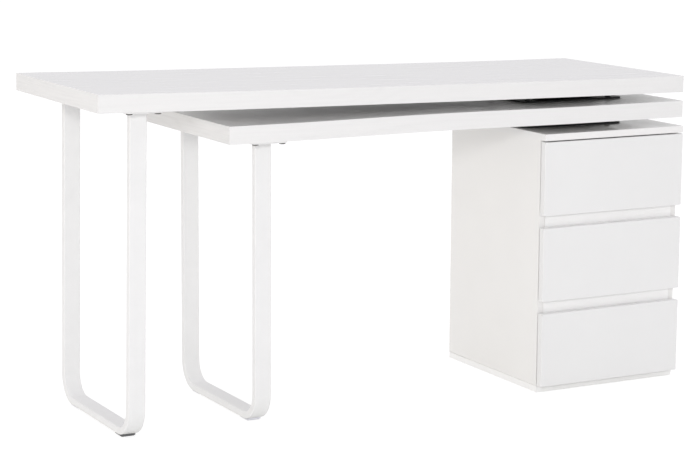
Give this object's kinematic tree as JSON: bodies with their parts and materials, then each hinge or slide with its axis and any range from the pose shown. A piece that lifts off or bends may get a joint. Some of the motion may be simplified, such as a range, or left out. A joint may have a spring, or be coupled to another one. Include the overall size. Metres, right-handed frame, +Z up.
{
  "type": "writing desk with drawers",
  "caption": "White desk with two stacked tops on looped bar legs, both swivelling on black turntables over a narrow handle-free drawer cabinet.",
  "frame": {"origin": "where the vertical swivel axis meets the floor, on the underside of the cabinet's base panel", "axes": "+X along the tops towards the cabinet end, -Y the drawer side, +Z up"},
  "size_m": [1.5204, 0.52, 0.7723],
  "materials": {
    "white_oak_laminate": "matt white laminate with an embossed wood grain along the board",
    "white_cabinet_board": "satin white melamine",
    "white_lacquer_front": "satin white lacquer",
    "drawer_box_board": "matt white melamine",
    "white_powder_coat": "satin white powder coat",
    "black_steel": "satin black",
    "slide_steel": "zinc plated",
    "pad_plastic": "matt grey"
  },
  "bodies": {
    "cabinet": {"cabinet_base_panel": "white_cabinet_board", "cabinet_left_side": "white_cabinet_board", "cabinet_right_side": "white_cabinet_board", "cabinet_top_panel": "white_cabinet_board", "cabinet_back_panel": "white_cabinet_board", "cabinet_lower_front_rail": "white_cabinet_board", "cabinet_upper_front_rail": "white_cabinet_board", "lower_swivel_base_plate": "black_steel", "top_drawer_left_cabinet_channel": "slide_steel", "top_drawer_right_cabinet_channel": "slide_steel", "middle_drawer_left_cabinet_channel": "slide_steel", "middle_drawer_right_cabinet_channel": "slide_steel", "bottom_drawer_left_cabinet_channel": "slide_steel", "bottom_drawer_right_cabinet_channel": "slide_steel"},
    "lower_top": {"lower_top_board": "white_oak_laminate", "lower_swivel_turning_plate": "black_steel", "lower_swivel_ring": "black_steel", "upper_swivel_base_plate": "black_steel", "inner_leg_loop": "white_powder_coat", "inner_leg_front_plate": "white_powder_coat", "inner_leg_rear_plate": "white_powder_coat", "inner_leg_front_pad": "pad_plastic", "inner_leg_rear_pad": "pad_plastic"},
    "upper_top": {"upper_top_board": "white_oak_laminate", "upper_swivel_turning_plate": "black_steel", "upper_swivel_ring": "black_steel", "outer_leg_loop": "white_powder_coat", "outer_leg_front_plate": "white_powder_coat", "outer_leg_rear_plate": "white_powder_coat", "outer_leg_front_pad": "pad_plastic", "outer_leg_rear_pad": "pad_plastic"},
    "top_drawer": {"top_drawer_front": "white_lacquer_front", "top_drawer_left_wall": "drawer_box_board", "top_drawer_right_wall": "drawer_box_board", "top_drawer_back_wall": "drawer_box_board", "top_drawer_bottom": "drawer_box_board", "top_drawer_left_drawer_channel": "slide_steel", "top_drawer_right_drawer_channel": "slide_steel"},
    "top_drawer_runners": {"top_drawer_left_middle_channel": "slide_steel", "top_drawer_right_middle_channel": "slide_steel"},
    "middle_drawer": {"middle_drawer_front": "white_lacquer_front", "middle_drawer_left_wall": "drawer_box_board", "middle_drawer_right_wall": "drawer_box_board", "middle_drawer_back_wall": "drawer_box_board", "middle_drawer_bottom": "drawer_box_board", "middle_drawer_left_drawer_channel": "slide_steel", "middle_drawer_right_drawer_channel": "slide_steel"},
    "middle_drawer_runners": {"middle_drawer_left_middle_channel": "slide_steel", "middle_drawer_right_middle_channel": "slide_steel"},
    "bottom_drawer": {"bottom_drawer_front": "white_lacquer_front", "bottom_drawer_left_wall": "drawer_box_board", "bottom_drawer_right_wall": "drawer_box_board", "bottom_drawer_back_wall": "drawer_box_board", "bottom_drawer_bottom": "drawer_box_board", "bottom_drawer_left_drawer_channel": "slide_steel", "bottom_drawer_right_drawer_channel": "slide_steel"},
    "bottom_drawer_runners": {"bottom_drawer_left_middle_channel": "slide_steel", "bottom_drawer_right_middle_channel": "slide_steel"}
  },
  "joints": [
    {"name": "lower_top_swivel", "type": "hinge", "parent": "cabinet", "child": "lower_top", "pos_m": [0, 0, 0.6385], "axis": [0, 0, 1], "continuous": true},
    {"name": "upper_top_swivel", "type": "hinge", "parent": "lower_top", "child": "upper_top", "pos_m": [0, 0, 0.7], "axis": [0, 0, 1], "continuous": true},
    {"name": "top_drawer_slide", "type": "slide", "parent": "cabinet", "child": "top_drawer", "axis": [0, -1, 0], "range_m": [0, 0.3]},
    {"name": "top_drawer_runner_slide", "type": "slide", "parent": "cabinet", "child": "top_drawer_runners", "axis": [0, -1, 0], "range_m": [0, 0.15]},
    {"name": "middle_drawer_slide", "type": "slide", "parent": "cabinet", "child": "middle_drawer", "axis": [0, -1, 0], "range_m": [0, 0.3]},
    {"name": "middle_drawer_runner_slide", "type": "slide", "parent": "cabinet", "child": "middle_drawer_runners", "axis": [0, -1, 0], "range_m": [0, 0.15]},
    {"name": "bottom_drawer_slide", "type": "slide", "parent": "cabinet", "child": "bottom_drawer", "axis": [0, -1, 0], "range_m": [0, 0.3]},
    {"name": "bottom_drawer_runner_slide", "type": "slide", "parent": "cabinet", "child": "bottom_drawer_runners", "axis": [0, -1, 0], "range_m": [0, 0.15]}
  ],
  "couplings": [
    {"joint": "top_drawer_runner_slide", "follows": "top_drawer_slide", "ratio": 0.5},
    {"joint": "middle_drawer_runner_slide", "follows": "middle_drawer_slide", "ratio": 0.5},
    {"joint": "bottom_drawer_runner_slide", "follows": "bottom_drawer_slide", "ratio": 0.5}
  ]
}
